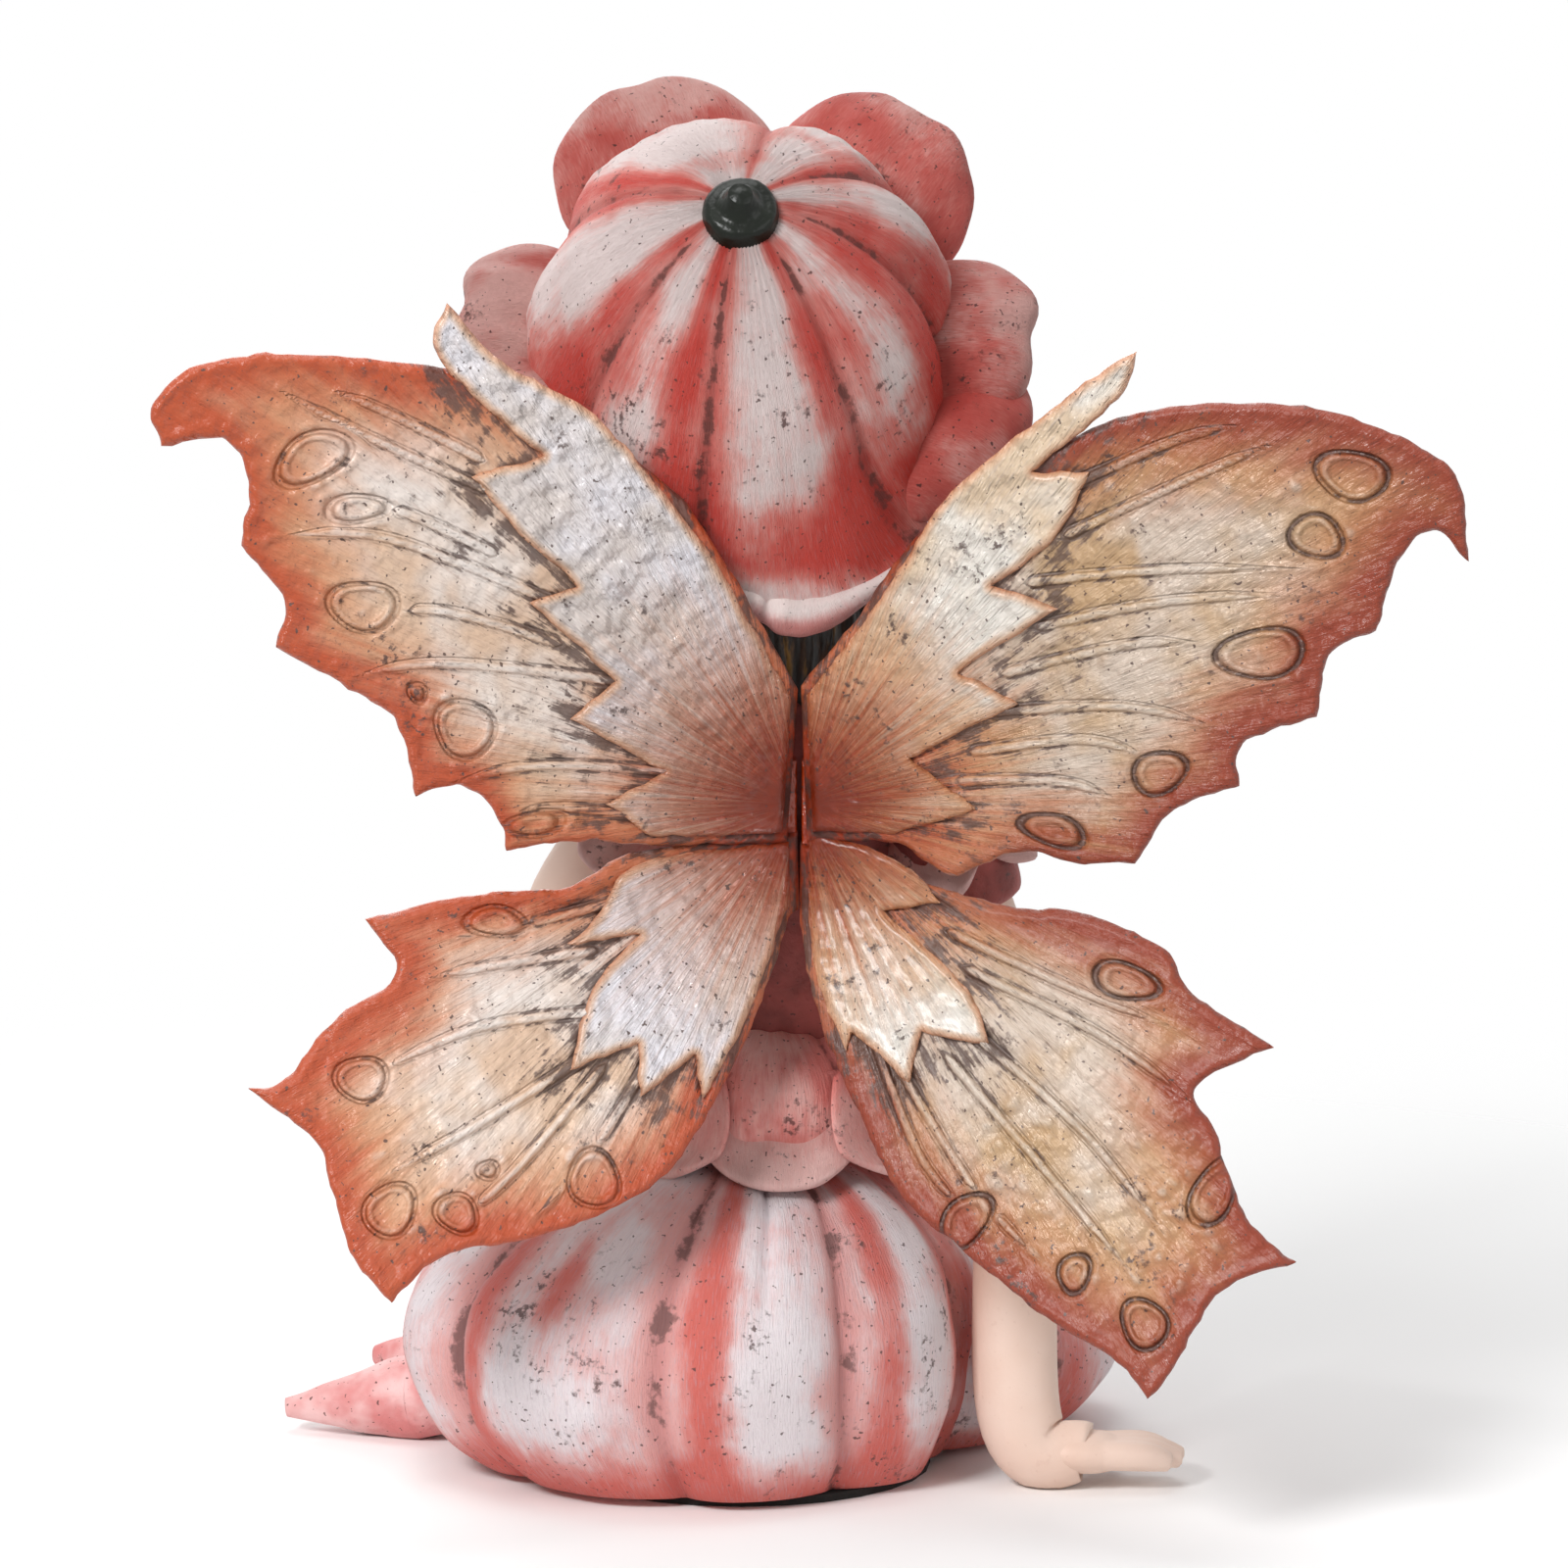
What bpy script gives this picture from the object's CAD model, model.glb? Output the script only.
from math import atan2, cos, degrees, exp, pi, radians, sin

import bmesh
import bpy
import numpy as np
from mathutils import Matrix, Vector, noise


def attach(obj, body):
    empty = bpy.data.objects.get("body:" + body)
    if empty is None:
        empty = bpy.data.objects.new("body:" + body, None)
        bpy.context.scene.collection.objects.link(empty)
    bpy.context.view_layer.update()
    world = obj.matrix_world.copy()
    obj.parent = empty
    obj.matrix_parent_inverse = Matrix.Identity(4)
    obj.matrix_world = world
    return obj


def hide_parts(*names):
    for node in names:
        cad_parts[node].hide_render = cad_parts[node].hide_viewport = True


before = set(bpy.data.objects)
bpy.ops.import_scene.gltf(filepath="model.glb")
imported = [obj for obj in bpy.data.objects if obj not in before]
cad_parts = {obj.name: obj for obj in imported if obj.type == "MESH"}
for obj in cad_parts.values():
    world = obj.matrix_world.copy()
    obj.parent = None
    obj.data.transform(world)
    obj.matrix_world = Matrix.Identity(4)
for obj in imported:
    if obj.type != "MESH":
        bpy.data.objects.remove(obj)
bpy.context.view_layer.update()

mm = 0.001
fine = 1.0      # share of the full mesh fineness
floorGap = 0.05                         # all sizes are in mm unless mm multiplies them
petalThick = 1.6


def at(x, y, z=0.0):
    return Vector((x, y, z))


up = at(0.0, 0.0, 1.0)


# Meshes

def finishPiece(name, bm, material, *nodes):
    # what rests on the floor ends flat, just over it
    for vert in bm.verts:
        vert.co.z = max(vert.co.z, floorGap)
    bm.transform(Matrix.Scale(mm, 4))
    mesh = bpy.data.meshes.new(name)
    bm.to_mesh(mesh)
    bm.free()
    mesh.shade_smooth()
    mesh.materials.append(material)
    piece = bpy.data.objects.new(name, mesh)
    bpy.context.scene.collection.objects.link(piece)
    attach(piece, "root")
    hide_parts(*nodes)
    return piece


def thicken(piece):
    wall = piece.modifiers.new("wall", "SOLIDIFY")
    wall.thickness = petalThick * mm
    wall.offset = 0.0
    soft = piece.modifiers.new("soft", "SUBSURF")
    soft.levels = soft.render_levels = 1


def paintLayers(bm, *names):
    return [bm.verts.layers.float.new(name) for name in names or ("crest", "blush", "along", "across")]


def ballMesh(steps, rings):
    bm = bmesh.new()
    bmesh.ops.create_uvsphere(bm, u_segments=steps, v_segments=rings, radius=1.0)
    return bm


def stretched(direction, size):
    return at(direction.x * size.x, direction.y * size.y, direction.z * size.z)


def layUv(bm, acrossLayer, alongLayer, wrap=0.0):
    uv = bm.loops.layers.uv.new("UVMap")
    for face in bm.faces:
        across = [loop.vert[acrossLayer] for loop in face.loops]
        high = max(across)
        for loop, value in zip(face.loops, across):
            if wrap and high - value > wrap / 2.0:
                value += wrap
            loop[uv].uv = (value, loop.vert[alongLayer])


def rough(place, size, height):
    return height * noise.noise(place / size)


def smoothPath(points, steps):
    path = []
    for i in range(len(points) - 1):
        before = points[max(i - 1, 0)]
        start, end = points[i], points[i + 1]
        after = points[min(i + 2, len(points) - 1)]
        for step in range(steps):
            t = step / steps
            path.append(0.5 * ((2.0 * start) + (end - before) * t
                               + (2.0 * before - 5.0 * start + 4.0 * end - after) * t * t
                               + (3.0 * start - before - 3.0 * end + after) * t * t * t))
    path.append(points[-1].copy())
    return path


def limbMesh(points, radii, flatness=1.0, steps=8, sides=6):
    path = smoothPath(points, steps)
    levels = smoothPath([at(radius, 0.0, 0.0) for radius in radii], steps)
    curve = bpy.data.curves.new("guide", "CURVE")
    curve.dimensions = "3D"
    curve.bevel_depth = 1.0
    curve.bevel_resolution = sides
    curve.use_fill_caps = True
    spline = curve.splines.new("POLY")
    spline.points.add(len(path) - 1)
    for point, place, level in zip(spline.points, path, levels):
        point.co = (place.x, place.y / flatness, place.z, 1.0)
        point.radius = level.x
    tube = bpy.data.objects.new("guide", curve)
    bpy.context.scene.collection.objects.link(tube)
    bpy.context.view_layer.update()
    mesh = bpy.data.meshes.new_from_object(tube.evaluated_get(bpy.context.evaluated_depsgraph_get()))
    bm = bmesh.new()
    bm.from_mesh(mesh)
    bpy.data.objects.remove(tube)
    bpy.data.curves.remove(curve)
    bpy.data.meshes.remove(mesh)
    bmesh.ops.remove_doubles(bm, verts=bm.verts[:], dist=0.0001)
    bm.transform(Matrix.Diagonal((1.0, flatness, 1.0, 1.0)))
    bmesh.ops.recalc_face_normals(bm, faces=bm.faces[:])
    return bm, path


def lobedAngle(direction, grooves):
    turn = (atan2(direction.y, direction.x) / (2.0 * pi)) % 1.0 * len(grooves)
    lobe = int(turn + 1e-6) % len(grooves)
    share = max(turn - int(turn + 1e-6), 0.0)
    start = grooves[lobe]
    width = (grooves[(lobe + 1) % len(grooves)] - start) % 360.0
    return radians(start + width * share), sin(pi * min(share, 1.0)), lobe


def lobedBall(grooves, steps, rings, placeOf, blushes, hemBlush, sharpness=0.55):
    bm = ballMesh(steps * len(grooves), rings)
    crest, blush, along, across = paintLayers(bm)
    for vert in bm.verts:
        angle, swell, lobe = lobedAngle(vert.co, grooves)
        level = vert.co.xy.length
        direction = at(level * cos(angle), level * sin(angle), vert.co.z)
        vert[crest] = 1.0 - (1.0 - swell) * min(level * 3.0, 1.0)
        turned = degrees(angle)
        vert[blush] = sum(amount * exp(-(((turned - middle + 180.0) % 360.0 - 180.0) / spread) ** 2)
                          for middle, spread, amount in blushes) + hemBlush(direction)
        vert[along] = atan2(level, vert.co.z) / pi
        vert[across] = (angle % (2.0 * pi)) / (2.0 * pi)
        vert.co = placeOf(direction, swell ** sharpness, lobe, angle)
    layUv(bm, across, along, wrap=1.0)
    bmesh.ops.recalc_face_normals(bm, faces=bm.faces[:])
    return bm


def petalMesh(petal):
    # a curled petal: it leaves `root` along `way`, and its tip curls toward `face`
    bm = bmesh.new()
    grid = round(16 * fine)
    bmesh.ops.create_grid(bm, x_segments=grid, y_segments=grid, size=1.0)
    crest, blush, along, across = paintLayers(bm)
    way = petal["way"].normalized()
    side = way.cross(petal["face"]).normalized()
    face = side.cross(way)
    for vert in bm.verts:
        u, v = vert.co.x, 0.5 * (vert.co.y + 1.0)
        half = 0.5 * petal["width"] * (0.6 + 0.4 * sin(pi * (0.12 + 0.52 * v)))
        reach = v * (1.0 - 0.35 * abs(u) ** 2.6)
        curl = 1.4 * max(reach - 0.6, 0.0) ** 2 * petal["length"]
        ruffle = petal["ruffle"] * reach * reach * sin(3.0 * pi * u + petal["phase"])
        vert[crest] = min(0.35 + 0.9 * max(reach - 0.55, 0.0) + 0.3 * (1.0 - abs(u)), 1.0)
        vert[blush] = 0.6 * max(1.0 - 2.0 * v, 0.0)
        vert[along] = v
        vert[across] = 0.5 * (u + 1.0)
        out = curl + ruffle - 0.2 * half * u * u - 0.5 * petalThick
        vert.co = petal["root"] + way * (petal["length"] * reach) + side * (half * u) + face * out
    layUv(bm, across, along)
    bmesh.ops.recalc_face_normals(bm, faces=bm.faces[:])
    if sum(item.normal.dot(face) * item.calc_area() for item in bm.faces) < 0.0:
        bmesh.ops.reverse_faces(bm, faces=bm.faces[:])
    return bm


# Paints

def colour(red, green, blue):
    def linear(value):
        value /= 255.0
        return value / 12.92 if value <= 0.04045 else ((value + 0.055) / 1.055) ** 2.4
    return (linear(red), linear(green), linear(blue), 1.0)


def addNode(tree, kind, **values):
    node = tree.nodes.new(kind)
    for name, value in values.items():
        setattr(node, name, value)
    return node


def feed(tree, node, name, source):
    # a number or colour is set on the socket, and anything else is a link
    if isinstance(source, bpy.types.NodeSocket):
        tree.links.new(source, node.inputs[name])
    else:
        node.inputs[name].default_value = source


def maths(tree, operation, a, b=0.0, clamp=False):
    node = addNode(tree, "ShaderNodeMath", operation=operation, use_clamp=clamp)
    feed(tree, node, 0, a)
    feed(tree, node, 1, b)
    return node.outputs[0]


def times(tree, a, b):
    return maths(tree, "MULTIPLY", a, b)


def plus(tree, *terms):
    total = terms[0]
    for term in terms[1:]:
        total = maths(tree, "ADD", total, term)
    return total


def minus(tree, a, b):
    return maths(tree, "SUBTRACT", a, b)


def mixColours(tree, share, a, b):
    node = addNode(tree, "ShaderNodeMix", data_type="RGBA")
    feed(tree, node, 0, share)
    feed(tree, node, 6, a)
    feed(tree, node, 7, b)
    return node.outputs[2]


def remap(tree, value, low, high, toLow=0.0, toHigh=1.0, smooth=True):
    kind = "SMOOTHSTEP" if smooth else "LINEAR"
    node = addNode(tree, "ShaderNodeMapRange", interpolation_type=kind)
    feed(tree, node, 0, value)
    for index, number in enumerate((low, high, toLow, toHigh), 1):
        node.inputs[index].default_value = number
    return node.outputs[0]


def noiseOf(tree, vector, scale, detail=3.0, roughness=0.55, stretch=None):
    if stretch:
        mapping = addNode(tree, "ShaderNodeMapping")
        feed(tree, mapping, 0, vector)
        mapping.inputs[3].default_value = stretch
        vector = mapping.outputs[0]
    node = addNode(tree, "ShaderNodeTexNoise")
    feed(tree, node, "Vector", vector)
    node.inputs["Scale"].default_value = scale
    node.inputs["Detail"].default_value = detail
    node.inputs["Roughness"].default_value = roughness
    return node.outputs[0]


def attribute(tree, name):
    return addNode(tree, "ShaderNodeAttribute", attribute_name=name).outputs["Fac"]


def uvOf(tree):
    return addNode(tree, "ShaderNodeUVMap", uv_map="UVMap").outputs[0]


def objectPlace(tree):
    return addNode(tree, "ShaderNodeTexCoord").outputs["Object"]


def newGroup(name, inputs, outputs):
    tree = bpy.data.node_groups.new(name, "ShaderNodeTree")
    for label, kind, default in inputs:
        made = tree.interface.new_socket(name=label, in_out="INPUT", socket_type=kind)
        if default is not None:
            made.default_value = default
    for label, kind in outputs:
        tree.interface.new_socket(name=label, in_out="OUTPUT", socket_type=kind)
    return tree, tree.nodes.new("NodeGroupInput"), tree.nodes.new("NodeGroupOutput")


valueSocket = "NodeSocketFloat"


def makeWashGroup():
    # dark wash left in the hollows and as worn specks, and the fine lumps of brushed paint
    tree, given, out = newGroup("darkWash", (
        ("Hollow", valueSocket, 0.0), ("Amount", valueSocket, 0.5), ("Speck", valueSocket, 0.5),
    ), (("Wash", valueSocket), ("Grain", valueSocket)))
    place = objectPlace(tree)
    patches = noiseOf(tree, place, 260.0, 4.0, 0.65)
    specks = noiseOf(tree, place, 900.0, 3.0, 0.6)
    broad = noiseOf(tree, place, 60.0, 2.0, 0.5)
    gaps = remap(tree, noiseOf(tree, place, 110.0, 3.0, 0.6), 0.42, 0.62)
    streaky = plus(tree, times(tree, patches, 0.75), times(tree, specks, 0.45))
    held = times(tree, given.outputs["Hollow"], plus(tree, 0.1, times(tree, gaps, 0.3)))
    wash = remap(tree, plus(tree, streaky, held), 0.76, 0.94)
    wash = maths(tree, "MULTIPLY", wash, given.outputs["Amount"], clamp=True)
    scattered = plus(tree, times(tree, broad, 0.5), times(tree, patches, 0.6))
    dots = times(tree, remap(tree, scattered, 0.62, 0.70), remap(tree, specks, 0.49, 0.6))
    pits = remap(tree, noiseOf(tree, place, 1250.0, 1.0), 0.695, 0.74)
    dots = times(tree, maths(tree, "MAXIMUM", dots, pits), given.outputs["Speck"])
    tree.links.new(maths(tree, "MAXIMUM", wash, dots), out.inputs["Wash"])
    tree.links.new(plus(tree, patches, times(tree, specks, 0.5)), out.inputs["Grain"])
    return tree


def makeBrushGroup():
    # streaks of a dry brush drawn along the form, read from the UV map: across, along
    tree, given, out = newGroup("dryBrush", (
        ("Vector", "NodeSocketVector", None), ("Fineness", valueSocket, 1.0),
    ), (("Streak", valueSocket), ("Fine", valueSocket)))
    scaled = addNode(tree, "ShaderNodeVectorMath", operation="SCALE")
    tree.links.new(given.outputs["Vector"], scaled.inputs[0])
    tree.links.new(given.outputs["Fineness"], scaled.inputs["Scale"])
    broad = noiseOf(tree, scaled.outputs[0], 5.0, 3.0, 0.6, stretch=(9.0, 0.8, 1.0))
    thin = noiseOf(tree, scaled.outputs[0], 5.0, 4.0, 0.7, stretch=(45.0, 1.6, 1.0))
    both = plus(tree, times(tree, broad, 0.55), times(tree, thin, 0.45))
    tree.links.new(both, out.inputs["Streak"])
    tree.links.new(thin, out.inputs["Fine"])
    return tree


washGroup = makeWashGroup()
brushGroup = makeBrushGroup()


def newPaint(name, roughness=0.5, specular=0.5):
    material = bpy.data.materials.new(name)
    material.use_nodes = True
    tree = material.node_tree
    shader = tree.nodes["Principled BSDF"]
    shader.inputs["Roughness"].default_value = roughness
    shader.inputs["Specular IOR Level"].default_value = specular
    return material, tree, shader


def useGroup(tree, group, **values):
    node = addNode(tree, "ShaderNodeGroup", node_tree=group)
    for name, value in values.items():
        feed(tree, node, name, value)
    return node


def bumpInto(tree, shader, height, distance):
    bump = addNode(tree, "ShaderNodeBump")
    bump.inputs["Strength"].default_value = 1.0
    bump.inputs["Distance"].default_value = distance * mm
    feed(tree, bump, "Height", height)
    tree.links.new(bump.outputs[0], shader.inputs["Normal"])


def readLook(look):
    # three numbers stand for a colour
    return {key: colour(*value) if isinstance(value, tuple) and len(value) == 3 else value
            for key, value in look.items()}


def petalPaint(name, look):
    # coral beside the grooves, brushed white on the crests, brown wash in the creases
    look = readLook(look)
    material, tree, shader = newPaint(name, look["roughness"], 0.35)
    brush = useGroup(tree, brushGroup, Vector=uvOf(tree), Fineness=look["fineness"])
    crest = attribute(tree, "crest")
    streak = minus(tree, brush.outputs["Streak"], 0.5)
    cloud = minus(tree, noiseOf(tree, objectPlace(tree), 75.0, 3.0), 0.5)
    shift = plus(tree, times(tree, streak, look["streak"]), times(tree, cloud, look["cloud"]))
    blush = minus(tree, attribute(tree, "blush"), shift)
    lit = plus(tree, crest, times(tree, shift, 0.8))
    body = mixColours(tree, remap(tree, lit, 0.1, 0.95), look["middle"], look["crest"])
    body = mixColours(tree, remap(tree, blush, -0.1, 0.75), body, look["middle"])
    body = mixColours(tree, remap(tree, blush, 0.2, 1.2), body, look["coral"])
    veil = times(tree, remap(tree, brush.outputs["Fine"], 0.5, 0.72), look["veilShare"])
    body = mixColours(tree, veil, body, look["veil"])
    hollow = remap(tree, crest, 0.0, 0.3, 1.0, 0.0)
    body = mixColours(tree, times(tree, hollow, look["deepShare"]), body, look["deep"])
    wash = useGroup(tree, washGroup, Hollow=hollow, Amount=look["wash"], Speck=look["speck"])
    feed(tree, shader, "Base Color", mixColours(tree, wash.outputs["Wash"], body, look["dark"]))
    height = plus(tree, brush.outputs["Fine"], times(tree, wash.outputs["Grain"], 0.45))
    bumpInto(tree, shader, height, look["bump"])
    return material


def plainPaint(name, look):
    # one brushed colour, mottled, with wash by its own amount
    look = readLook(look)
    material, tree, shader = newPaint(name, look["roughness"])
    cloud = noiseOf(tree, objectPlace(tree), look["mottle"], 3.0)
    body = mixColours(tree, remap(tree, cloud, 0.35, 0.65), look["deep"], look["light"])
    wash = useGroup(tree, washGroup, Hollow=0.0, Amount=look["wash"], Speck=look["speck"])
    feed(tree, shader, "Base Color", mixColours(tree, wash.outputs["Wash"], body, look["dark"]))
    bumpInto(tree, shader, wash.outputs["Grain"], look["bump"])
    return material


hatPaint = petalPaint("hatPaint", {
    "deep": (150, 48, 42), "coral": (206, 68, 58), "middle": (228, 144, 134),
    "crest": (238, 220, 217), "dark": (84, 50, 46), "veil": (190, 146, 144), "veilShare": 0.4,
    "deepShare": 0.5, "fineness": 5.0, "streak": 1.1, "cloud": 1.9, "wash": 0.75, "speck": 0.85,
    "roughness": 0.6, "bump": 0.45,
})
brimPaint = petalPaint("brimPaint", {
    "deep": (160, 52, 48), "coral": (198, 70, 62), "middle": (220, 112, 102),
    "crest": (240, 184, 176), "dark": (88, 48, 44), "veil": (182, 96, 90), "veilShare": 0.35,
    "deepShare": 0.4, "fineness": 3.0, "streak": 1.2, "cloud": 2.2, "wash": 0.7, "speck": 0.9,
    "roughness": 0.58, "bump": 0.55,
})
skirtPaint = petalPaint("skirtPaint", {
    "deep": (172, 80, 78), "coral": (216, 108, 98), "middle": (232, 172, 168),
    "crest": (240, 230, 233), "dark": (88, 64, 62), "veil": (196, 174, 186), "veilShare": 0.4,
    "deepShare": 0.35, "fineness": 4.0, "streak": 1.0, "cloud": 1.8, "wash": 0.7, "speck": 0.85,
    "roughness": 0.6, "bump": 0.45,
})
trimPaint = petalPaint("trimPaint", {
    "deep": (140, 46, 44), "coral": (186, 70, 66), "middle": (232, 146, 138),
    "crest": (250, 206, 200), "dark": (76, 40, 38), "veil": (170, 86, 84), "veilShare": 0.35,
    "deepShare": 0.5, "fineness": 1.5, "streak": 1.2, "cloud": 1.6, "wash": 0.6, "speck": 0.8,
    "roughness": 0.58, "bump": 0.35,
})
lipPaint = petalPaint("lipPaint", {
    "deep": (180, 90, 88), "coral": (214, 124, 118), "middle": (232, 180, 176),
    "crest": (240, 226, 222), "dark": (90, 56, 52), "veil": (196, 160, 156), "veilShare": 0.3,
    "deepShare": 0.3, "fineness": 1.5, "streak": 0.7, "cloud": 1.0, "wash": 0.4, "speck": 0.5,
    "roughness": 0.5, "bump": 0.3,
})
bodicePaint = plainPaint("bodicePaint", {
    "deep": (116, 44, 38), "light": (160, 72, 66), "dark": (62, 30, 26),
    "mottle": 110.0, "wash": 0.7, "speck": 0.8, "roughness": 0.6, "bump": 0.4,
})
skinPaint = plainPaint("skinPaint", {
    "deep": (222, 190, 172), "light": (230, 204, 189), "dark": (176, 122, 102),
    "mottle": 45.0, "wash": 0.25, "speck": 0.1, "roughness": 0.55, "bump": 0.1,
})
slipperPaint = plainPaint("slipperPaint", {
    "deep": (210, 128, 126), "light": (232, 190, 188), "dark": (92, 56, 52),
    "mottle": 110.0, "wash": 0.6, "speck": 0.9, "roughness": 0.6, "bump": 0.35,
})


# Hat

hat = {
    "centre": at(0.0, 5.0, 169.0), "radius": 31.5, "lean": radians(42.0), "napeDrop": 10.4,
    "grooves": (33.0, 78.0, 160.0, 216.0, 258.0, 310.0, 352.0), "grooveDepth": 0.13, "mouth": -4.0,
    "lipAngle": 296.0, "lipSpread": 23.0, "lipFlare": 5.8, "lipSwing": 3.8, "lipBand": 16.0,
    "lipRadius": 2.5, "lipSteps": 24,
    "stalk": ((-4.0, 5.6), (0.8, 5.3), (1.9, 3.2), (4.2, 1.7)),
    "brimPetals": ((357.0, 16.5, 44.0, 0.55, -1.5, 0.0), (56.0, 16.5, 48.0, 0.55, -1.5, 0.3),
                   (110.0, 17.0, 47.5, 0.55, -1.5, -0.05), (175.0, 14.5, 42.5, 0.55, -1.5, -0.5),
                   (210.0, 14.0, 42.0, 0.55, -1.5, -0.4), (333.0, 14.5, 45.5, 0.68, -4.0, 0.25)),
    "brimThick": 6.5,
    "blushes": ((35.0, 7.0, 0.9), (78.0, 5.0, 0.6), (150.0, 7.0, 0.9), (165.0, 5.0, 0.7),
                (208.0, 8.0, 1.0), (222.0, 5.0, 0.4), (249.0, 8.0, 1.0), (262.0, 4.0, 0.5),
                (304.0, 8.0, 1.0), (318.0, 4.0, 0.4), (343.0, 9.0, 0.8), (0.0, 9.0, 0.8)),
    "hemStart": 0.33, "hemEnd": 0.46, "rimPale": 0.1, "stalkShift": -1.4,
}


def hatMatrix():
    axis = at(0.0, -cos(hat["lean"]), sin(hat["lean"]))
    back = at(0.0, sin(hat["lean"]), cos(hat["lean"]))
    turn = Matrix((at(1.0, 0.0, 0.0), back, axis)).transposed().to_4x4()
    return Matrix.Translation(hat["centre"]) @ turn


def crownPlace(direction, swell):
    # hangs lower at the nape, and flares there to a lip
    down = at(0.0, -cos(hat["lean"]), -sin(hat["lean"]))
    level = min(direction.xy.length * 2.0, 1.0)
    aside = degrees(atan2(direction.y, direction.x)) % 360.0 - hat["lipAngle"]
    height = max(direction.z * hat["radius"], hat["mouth"])
    low = max(1.0 - (height - hat["mouth"]) / hat["lipBand"], 0.0) ** 2
    flare = exp(-(aside / hat["lipSpread"]) ** 2) * low
    groove = hat["grooveDepth"] * (1.0 - swell) * (1.0 - flare)
    spot = direction * (hat["radius"] * (1.0 - groove * level))
    spot.z = height
    spot.xy *= 1.0 + hat["lipFlare"] / hat["radius"] * flare
    spot.x += hat["lipSwing"] * exp(-((aside - 15.0) / 12.0) ** 2) * low
    return spot + down * (hat["napeDrop"] * max(-direction.y, 0.0) ** 1.5)


def makeCrown():
    def place(direction, swell, lobe, angle):
        level = direction.xy.length
        pleats = sin(angle * 78.0 + lobe) * exp(-((level - 0.3) / 0.25) ** 2)
        pleats += 0.6 * sin(angle * 41.0 + 2.0 * lobe) * level
        spot = crownPlace(direction, swell)
        lumps = rough(direction * hat["radius"] + at(lobe * 9.0, 0.0), 9.0, 0.6)
        return spot + direction * (0.22 * pleats * swell + lumps)

    def hemBlush(direction):
        # the nape side is coral above the lip
        low = atan2(direction.xy.length, direction.z) / pi - hat["hemStart"]
        low /= hat["hemEnd"] - hat["hemStart"]
        rim = min(max((hat["rimPale"] + direction.z) * 5.0, 0.0), 1.0)
        return min(max(low, 0.0), 1.0) * rim * max(-direction.y, 0.0) ** 0.5

    bm = lobedBall(hat["grooves"], round(34 * fine), round(130 * fine), place, hat["blushes"], hemBlush)
    bm.transform(hatMatrix())
    finishPiece("crown", bm, hatPaint, "figure")


def makeNapeLip():
    # the rolled hem of the nape lobe, folded over at one end
    spots, radii = [], []
    for step in range(hat["lipSteps"] + 1):
        share = 2.0 * step / hat["lipSteps"] - 1.0
        angle = radians(hat["lipAngle"] + hat["lipSpread"] * (0.95 * share - 0.3))
        direction = at(cos(angle), sin(angle), hat["mouth"] / hat["radius"])
        rim = crownPlace(direction, 1.0 - 0.25 * abs(share))
        rim += up * (0.8 * sin(4.0 * share - 0.8) - 0.8 * exp(-((share + 0.62) / 0.12) ** 2))
        spots.append(hatMatrix() @ rim)
        fold = 1.0 - 0.35 * exp(-((share + 0.62) / 0.1) ** 2)
        radii.append(hat["lipRadius"] * fold * (0.3 + 0.95 * exp(-((share + 0.35) / 0.65) ** 2)))
    bm, path = limbMesh(spots, radii, steps=3, sides=10)
    crest, blush, along, across = paintLayers(bm)
    for vert in bm.verts:
        nearest = min(path, key=lambda spot: (spot - vert.co).length_squared)
        vert[crest] = 1.0
        vert[blush] = min(max(0.35 - 0.35 * (vert.co.z - nearest.z), 0.0), 0.8)
        vert[along] = (nearest.x + 10.0) / 40.0
        vert[across] = 0.1 * (vert.co.z - nearest.z)
        vert.co += (vert.co - nearest) * rough(vert.co, 3.0, 0.2)
    layUv(bm, across, along)
    finishPiece("napeLip", bm, lipPaint, "figure")


def makeBrim():
    for number, (angle, halfWidth, reach, root, rise, tint) in enumerate(hat["brimPetals"]):
        halfReach = (reach - root * hat["radius"]) / 2.0
        bm = ballMesh(round(72 * fine), round(44 * fine))
        crest, blush, along, across = paintLayers(bm)
        for vert in bm.verts:
            d = vert.co.copy()
            dent = 0.12 * halfReach * exp(-(d.y / 0.25) ** 2) * max(d.x, 0.0)
            lift = 0.2 * d.x * halfReach - 0.16 * halfWidth * d.y * d.y
            ridge = 0.7 * sin(d.y * 9.0 + number) + 0.35 * sin(d.y * 17.0 + 2.0 * number)
            fold = ridge * (0.4 + 0.6 * max(d.x, 0.0))
            lit = 0.55 + 0.5 * d.x - 0.2 * abs(d.y) + 0.25 * d.z - 0.4 * tint + 0.16 * ridge
            vert[crest] = min(max(lit, 0.2), 1.0)
            vert[blush] = max(max(0.75 - 0.8 * d.x, 0.0) * 0.7 + tint, 0.0)
            vert[along] = 0.5 * (d.x + 1.0)
            vert[across] = 0.5 * (d.y + 1.0)
            high = d.z * (hat["brimThick"] + fold) + lift
            vert.co = at(d.x * halfReach - dent, d.y * halfWidth, high)
            vert.co += d * rough(vert.co + at(40.0 * number, 0.0, 0.0), 7.0, 0.7)
        layUv(bm, across, along)
        turn = Matrix.Rotation(radians(angle), 4, "Z")
        bm.transform(hatMatrix() @ turn @ Matrix.Translation((reach - halfReach, 0.0, rise)))
        finishPiece(f"brimPetal{number}", bm, brimPaint, "figure")


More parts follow.
